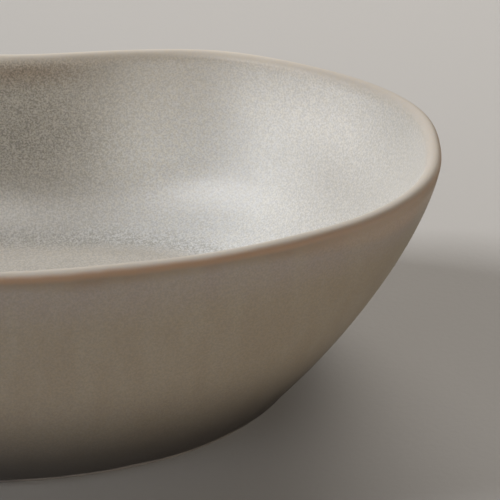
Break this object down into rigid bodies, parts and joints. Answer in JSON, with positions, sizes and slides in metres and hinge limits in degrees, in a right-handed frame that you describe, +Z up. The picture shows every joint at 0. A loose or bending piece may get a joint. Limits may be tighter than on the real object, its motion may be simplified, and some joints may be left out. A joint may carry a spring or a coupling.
{
  "type": "kidney dish",
  "caption": "Kidney-shaped stoneware dish with flared round ends, a waist pressed into its long side, matt glaze inside and out, and a bare clay foot ring.",
  "frame": {"origin": "middle of the dish's outline, on the surface that the foot ring stands on", "axes": "+Z up out of the open top, +X along the length, +Y towards the long side that has the waist"},
  "size_m": [0.2946, 0.166, 0.0759],
  "materials": {
    "clay": "bare fired stoneware, rough, dark grey brown",
    "glaze": "matt reactive glaze, beige grey with fine speckle, breaking to warm brown on the rim"
  },
  "bodies": {
    "root": {"stoneware_body": "clay", "glaze_coat": "glaze", "base_glaze": "glaze"}
  },
  "joints": []
}
